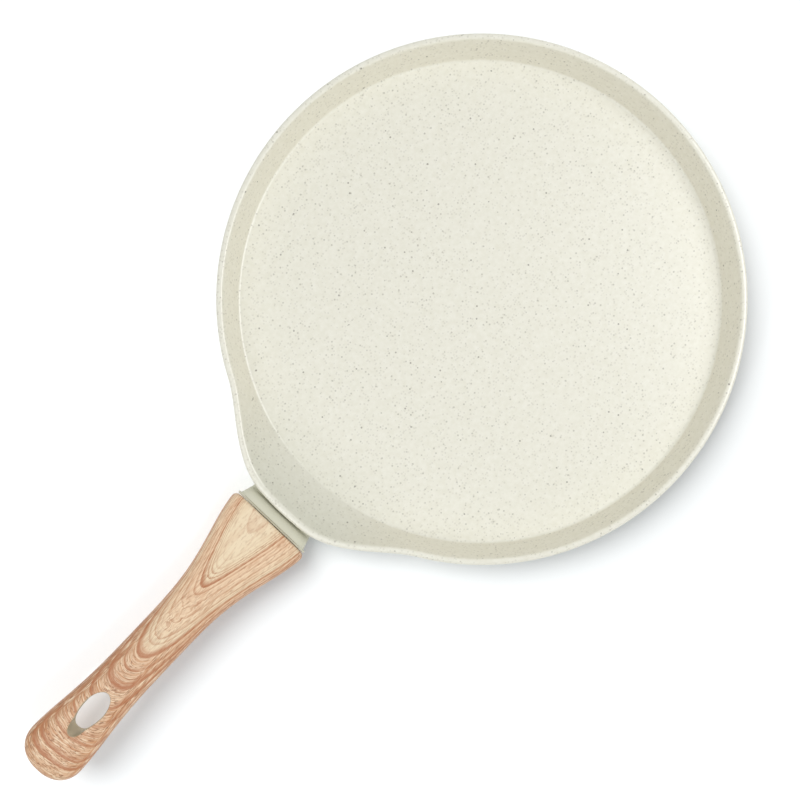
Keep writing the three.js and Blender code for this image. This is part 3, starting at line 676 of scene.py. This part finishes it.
def wood_print():
    """Wood grain transferred on to moulded phenolic and lacquered: pale tan with tongues of red-brown
    growth lines, short dark and pale pores along them, and the bare moulding in the hanging hole. Painted
    shade darkens the print toward the edges and at the left near the tail, and darkens the bare moulding."""
    made, tree, shader = material("wood_transfer_on_moulded_phenolic")
    place = node(tree, "TexCoord").outputs["Object"]
    tip, ring, run, share, bare = (node(tree, "Attribute", {"attribute_name": name}).outputs["Fac"]
                                   for name in ("tip", "ring", "run", "share", "bare"))
    point = node(tree, "SeparateXYZ", Vector=place).outputs

    # The lines sway a little everywhere, and curl inside the second tongue.
    wander = node(tree, "TexNoise", Vector=place, Scale=1000 / 11.0, Detail=2.0).outputs["Fac"]
    sway = node(tree, "Math", SUBTRACT, _0=wander, _1=0.5).outputs[0]
    curl = node(tree, "TexNoise", Vector=place, Scale=1000 / 3.0, Detail=1.0).outputs["Fac"]
    level = node(tree, "Math", DIVIDE, _0=tip, _1=TIP_RANGE).outputs[0]
    curled = node(tree, "ValToRGB", {"stops": CURL}, Fac=level).outputs["Color"]
    off_axis = node(tree, "Math", ADD, _0=share, _1=0.18).outputs[0]
    off_axis = node(tree, "Math", ABSOLUTE, _0=off_axis).outputs[0]
    inside = node(tree, "MapRange", _0=off_axis, _1=0.16, _2=0.42, _3=1.0, _4=0.0).outputs[0]
    curled = node(tree, "Math", MULTIPLY, _0=curled, _1=inside).outputs[0]
    along = node(tree, "Math", MULTIPLY_ADD, _0=sway, _1=2.5, _2=tip).outputs[0]
    along = node(tree, "Math", MULTIPLY_ADD, _0=curl, _1=curled, _2=along).outputs[0]

    # Ground tone along the handle. Painted shade makes it warmer and darker toward the edges behind its
    # front, and darker at the left near the tail.
    # Places along X are in metres: the handle runs from about 0.163 to 0.337.
    tone_at = node(tree, "Math", DIVIDE, _0=along, _1=TIP_RANGE).outputs[0]
    colour = node(tree, "ValToRGB", {"stops": WOOD_TONES}, Fac=tone_at).outputs["Color"]
    side = node(tree, "Math", ABSOLUTE, _0=share).outputs[0]
    for low, high, strength, shade in EDGE_SHADE_TONES:
        edge_shade = node(tree, "MapRange", EASED, _0=side, _1=low, _2=high, _3=0.0, _4=strength).outputs[0]
        edge_shade = node(tree, "MapRange", _0=point["X"], _1=0.19, _2=0.24, _3=0.0, _4=edge_shade).outputs[0]
        colour = node(tree, "Mix", COLOUR, _0=edge_shade, _6=colour, _7=linear(shade)).outputs[2]
    # Painted shade on the left side of the handle near the tail.
    far = node(tree, "MapRange", _0=point["X"], _1=0.22, _2=0.26, _3=0.0, _4=0.8).outputs[0]
    left = node(tree, "MapRange", EASED, _0=share, _1=-0.35, _2=-0.9).outputs[0]
    left = node(tree, "Math", MULTIPLY, _0=left, _1=far).outputs[0]
    colour = node(tree, "Mix", COLOUR, _0=left, _6=colour, _7=linear("#A87A55")).outputs[2]

    # Pores follow the arcs, or run lengthwise where the lines do and in the heart; drawn coarser than real
    # ones, so that they show.
    strength_at = node(tree, "ValToRGB", {"stops": PORE_STRENGTH}, Fac=level).outputs["Color"]
    front = node(tree, "MapRange", _0=point["X"], _1=0.19, _2=0.25, _3=0.6, _4=1.0).outputs[0]
    strength_at = node(tree, "Math", MULTIPLY, _0=strength_at, _1=front).outputs[0]
    heart = node(tree, "MapRange", _0=tip, _1=86.0, _2=97.0, _3=1.0, _4=0.0).outputs[0]
    lengthwise = node(tree, "Math", MAXIMUM, _0=run, _1=heart).outputs[0]
    beside = node(tree, "Math", MULTIPLY, _0=share, _1=WAIST_WIDTH / 2).outputs[0]
    beside = node(tree, "Math", MULTIPLY_ADD, _0=curl, _1=curled, _2=beside).outputs[0]
    for across_mm, along_mm, low, high, strength, shade in PORES:
        crosswise = node(tree, "CombineXYZ", X=along, Y=point["Y"], Z=point["Z"]).outputs[0]
        crosswise = node(tree, "VectorMath", MULTIPLY, _0=crosswise,
                         _1=(1 / across_mm, 1000 / along_mm, 1000 / along_mm)).outputs[0]
        spread = node(tree, "CombineXYZ", X=point["X"], Y=beside, Z=point["Z"]).outputs[0]
        spread = node(tree, "VectorMath", MULTIPLY, _0=spread,
                      _1=(1000 / (PORE_STRETCH * along_mm), 1 / across_mm, 1000 / across_mm)).outputs[0]
        layers = [node(tree, "TexNoise", Vector=vector, Scale=1.0, Detail=1.0).outputs["Fac"]
                  for vector in (crosswise, spread)]
        grain = node(tree, "Mix", _0=lengthwise, _2=layers[0], _3=layers[1]).outputs[0]
        pore = node(tree, "MapRange", _0=grain, _1=low, _2=high, _3=0.0, _4=strength).outputs[0]
        pore = node(tree, "Math", MULTIPLY, _0=pore, _1=strength_at).outputs[0]
        colour = node(tree, "Mix", COLOUR, _0=pore, _6=colour, _7=linear(shade)).outputs[2]

    # Growth lines: the whole part of ring picks the line's darkness, the rest gives the place across it.
    ring = node(tree, "Math", MULTIPLY_ADD, _0=sway, _1=0.3, _2=ring).outputs[0]
    swirl = node(tree, "Math", SUBTRACT, _0=curl, _1=0.5).outputs[0]
    swirl = node(tree, "Math", MULTIPLY, _0=swirl, _1=curled).outputs[0]
    ring = node(tree, "Math", MULTIPLY_ADD, _0=swirl, _1=0.9, _2=ring).outputs[0]
    number = node(tree, "Math", {"operation": "FLOOR"}, _0=ring).outputs[0]
    across = node(tree, "Math", {"operation": "FRACT"}, _0=ring).outputs[0]
    count = len(GROWTH_LINES)
    index = node(tree, "Math", DIVIDE, _0=number, _1=float(count)).outputs[0]
    depths = [((k - 0.5) / count if k else 0.0, row[3]) for k, row in enumerate(GROWTH_LINES)]
    depth = node(tree, "ValToRGB", {"stops": depths, "steps": "CONSTANT"}, Fac=index).outputs["Color"]
    late = node(tree, "ValToRGB", {"stops": LINE_PROFILE}, Fac=across).outputs["Color"]
    line = node(tree, "Math", MULTIPLY, _0=depth, _1=late).outputs[0]
    right = node(tree, "MapRange", _0=share, _1=0.1, _2=0.45, _3=0.95, _4=0.86).outputs[0]
    paler = node(tree, "MapRange", _0=point["X"], _1=0.19, _2=0.25, _3=right, _4=1.0).outputs[0]
    broken = node(tree, "MapRange", _0=grain, _1=0.4, _2=0.6, _3=0.78, _4=1.08).outputs[0]
    calm = node(tree, "MapRange", _0=curled, _1=0.0, _2=MOST_CURL, _3=1.0, _4=0.68).outputs[0]
    for less in (paler, broken, calm):
        line = node(tree, "Math", MULTIPLY, _0=line, _1=less).outputs[0]
    colour = node(tree, "Mix", COLOUR, _0=line, _6=colour, _7=linear("#AC6F49")).outputs[2]

    # The bare cream moulding in the hanging hole. Its colour is darkened by painted shade for the hole's
    # recess.
    cover = node(tree, "MapRange", _0=bare, _1=0.35, _2=0.95, _3=0.0, _4=1.0).outputs[0]
    colour = node(tree, "Mix", COLOUR, _0=cover, _6=colour, _7=linear("#C4B89D")).outputs[2]
    tree.links.new(colour, shader.inputs["Base Color"])
    bump = node(tree, "Bump", Height=grain, Strength=0.08, Distance=0.0001)
    tree.links.new(bump.outputs["Normal"], shader.inputs["Normal"])
    shader.inputs["Roughness"].default_value = 0.48
    shader.inputs["IOR"].default_value = 1.5
    return made


def turned_steel():
    """Ferritic stainless sheet, ground in circles: grey, with fine rings round the pan's centre, drawn
    coarser than real grinding marks, so that they show."""
    made, tree, shader = material("ring_ground_ferritic_steel")
    place = node(tree, "TexCoord").outputs["Object"]
    level = node(tree, "VectorMath", MULTIPLY, _0=place, _1=(1.0, 1.0, 0.0)).outputs[0]
    radius = node(tree, "VectorMath", {"operation": "LENGTH"}, _0=level).outputs["Value"]
    lines = node(tree, "TexNoise", {"noise_dimensions": "1D"}, W=radius, Scale=1000 / 0.8,
                 Detail=3.0).outputs["Fac"]
    tone = node(tree, "Mix", COLOUR, _0=lines, _6=linear("#9FA1A3"), _7=linear("#C4C6C8"))
    tree.links.new(tone.outputs[2], shader.inputs["Base Color"])
    rough = node(tree, "MapRange", _0=lines, _1=0.2, _2=0.8, _3=0.28, _4=0.46)
    tree.links.new(rough.outputs[0], shader.inputs["Roughness"])
    shader.inputs["Metallic"].default_value = 1.0
    return made


def plain_metal(name, dark, light, low, high):
    """A bare metal with a cloudy tone and roughness: bright and smooth from zinc plating, greyer and
    duller from an extrusion that is left as cut."""
    made, tree, shader = material(name)
    place = node(tree, "TexCoord").outputs["Object"]
    cloud = node(tree, "TexNoise", Vector=place, Scale=1000 / 2.0, Detail=4.0).outputs["Fac"]
    tone = node(tree, "Mix", COLOUR, _0=cloud, _6=linear(dark), _7=linear(light))
    tree.links.new(tone.outputs[2], shader.inputs["Base Color"])
    rough = node(tree, "MapRange", _0=cloud, _1=0.3, _2=0.7, _3=low, _4=high)
    tree.links.new(rough.outputs[0], shader.inputs["Roughness"])
    shader.inputs["Metallic"].default_value = 1.0
    return made


# Pieces

coat = stone_coat()
steel = turned_steel()
zinc = plain_metal("bright_zinc_plated_steel", "#AEB2B6", "#C9CDD1", 0.24, 0.36)
extrusion = plain_metal("extruded_aluminium_as_cut", "#B9BBBD", "#CDCFD0", 0.38, 0.5)

dish, on_wall, on_neck = pan_surface()
pan = skin("pan", [patch(dish, wrap=True)], {"on_wall": [on_wall], "on_neck": [on_neck]})
combine(pan, pegs(HOLE_RADIUS - FIT, 0.0, BASE_THICKNESS / 2), "UNION")
dress(pan, coat)
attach(pan, "root")
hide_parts("pan_body")

disc_profile = [(0, 0), (DISC_RADIUS - DISC_EDGE, 0), (DISC_RADIUS, DISC_EDGE),
                (DISC_RADIUS, DISC_THICKNESS), (0, DISC_THICKNESS)]
disc = skin("base_disc", turned([(0, 0)], disc_profile, DISC_STEPS, upright))
combine(disc, pegs(HOLE_RADIUS, -1.0, 2.0), "DIFFERENCE")
dress(disc, steel)
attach(disc, "root")
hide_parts("induction_disc")

handle = grip()
combine(handle, socket(FIT), "DIFFERENCE", 40)
combine(handle, screw_pocket(), "DIFFERENCE", 40)
dress(handle, wood_print())
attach(handle, "root")
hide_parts("handle_grip")

collar = guard()
combine(collar, socket(FIT), "DIFFERENCE", 38)
dress(collar, guard_paint())
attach(collar, "root")
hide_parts("flame_guard")

solids = ("handle_tang", "handle_screw", "spring_washer", "flat_washer")
tang, *fasteners = (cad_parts[name] for name in solids)
dress(tang, extrusion)
for fastener in fasteners:
    dress(fastener, zinc)


# Stage

def lamp_on(name, kind, receivers, place, aim, energy, **settings):
    """A soft lamp that lights only the given objects; everything still throws its shadow. Returns it."""
    lamp = bpy.data.lights.new(name, kind)
    lamp.energy = energy
    for key, value in settings.items():
        setattr(lamp, key, value)
    holder = bpy.data.objects.new(name, lamp)
    holder.location = place
    holder.rotation_euler = (Vector(place) - Vector(aim)).to_track_quat("Z", "Y").to_euler()
    bpy.context.collection.objects.link(holder)
    group = bpy.data.collections.new(name + "_lights")
    for thing in receivers:
        group.objects.link(thing)
    holder.light_linking.receiver_collection = group
    return holder


def looked_at(tree):
    """1 for a ray that shows the backdrop, straight or in a mirror or glass, and 0 for one that lights."""
    rays = node(tree, "LightPath").outputs
    mirror = node(tree, "Math", MAXIMUM, _0=rays["Is Glossy Ray"], _1=rays["Is Transmission Ray"]).outputs[0]
    return node(tree, "Math", MAXIMUM, _0=rays["Is Camera Ray"], _1=mirror).outputs[0]


def studio(pieces):
    """Pale paper sweep under an even sky. Two softboxes light the object from both sides, and a strip that
    shows only in the pan's gloss draws the bright line along its floor corner and lip. On the paper, a wide
    sun leaves the soft shadow at the picture's lower right, and a small fill lightens it beside the handle.
    The paper's faint blue glow, which is seen but gives no light, cools that shadow."""
    mesh = bpy.data.meshes.new("floor")
    reach, low = 3.0, -0.0003
    corners = [(-reach, -reach, low), (reach, -reach, low), (reach, reach, low), (-reach, reach, low)]
    mesh.from_pydata(corners, [], [(0, 1, 2, 3)])
    floor = bpy.data.objects.new("floor", mesh)
    bpy.context.collection.objects.link(floor)
    made, tree, shader = material("pale_paper_sweep")
    shader.inputs["Base Color"].default_value = linear("#EFEFEF")
    shader.inputs["Roughness"].default_value = 0.9
    glow = node(tree, "Emission", Color=linear("#89DAFF"), Strength=0.03)
    both = node(tree, "AddShader", _0=shader.outputs[0], _1=glow.outputs[0])
    mix = node(tree, "MixShader", _0=looked_at(tree), _1=shader.outputs[0], _2=both.outputs[0])
    tree.links.new(mix.outputs[0], tree.nodes["Material Output"].inputs["Surface"])
    dress(floor, made)
    world = bpy.data.worlds.new("sky")
    world.use_nodes = True
    tree = world.node_tree
    sky = tree.nodes["Background"]
    sky.inputs["Color"].default_value = linear("#FFFFFF")
    lit, seen = 0.52, 1.0
    level = node(tree, "MapRange", _0=looked_at(tree), _3=lit, _4=seen)
    tree.links.new(level.outputs[0], sky.inputs["Strength"])
    bpy.context.scene.world = world
    over_pan = (0.03, 0.0, 0.0)
    soft = lamp_on("right_softbox", "AREA", pieces, (-0.431, 0.231, 0.737), over_pan, 3.1, size=0.6)
    soft.visible_glossy = False
    lamp_on("left_softbox", "AREA", pieces, (0.546, -0.03, 0.737), over_pan, 2.5, size=0.6)
    strip = lamp_on("edge_strip", "AREA", pieces[:1], (-0.43, 0.344, 0.68), (0.0, 0.0, 0.0), 6.2,
                    shape="RECTANGLE", size=0.6, size_y=0.25)
    strip.visible_diffuse = False
    lamp_on("key", "SUN", [floor], (0.098, -2.348, 3.65), (0.0, 0.0, 0.0), 2.42,
            angle=math.radians(48), color=linear("#FDFFFF")[:3])
    lamp_on("fill", "AREA", [floor], (0.345, 0.12, 0.28), (0.28, 0.03, 0.0), 0.21,
            size=0.06, color=linear("#EFF9FF")[:3])


studio([pan, disc, handle, collar, tang] + fasteners)
lens = bpy.data.cameras.new("camera")
lens.sensor_width, lens.lens = 36.0, 52.95
camera = bpy.data.objects.new("camera", lens)
camera.location = (0.06814, 0.00514, 0.63795)
camera.rotation_euler = (0, 0, math.radians(133.41))
bpy.context.collection.objects.link(camera)
bpy.context.scene.camera = camera
bpy.context.scene.view_settings.view_transform = "Standard"
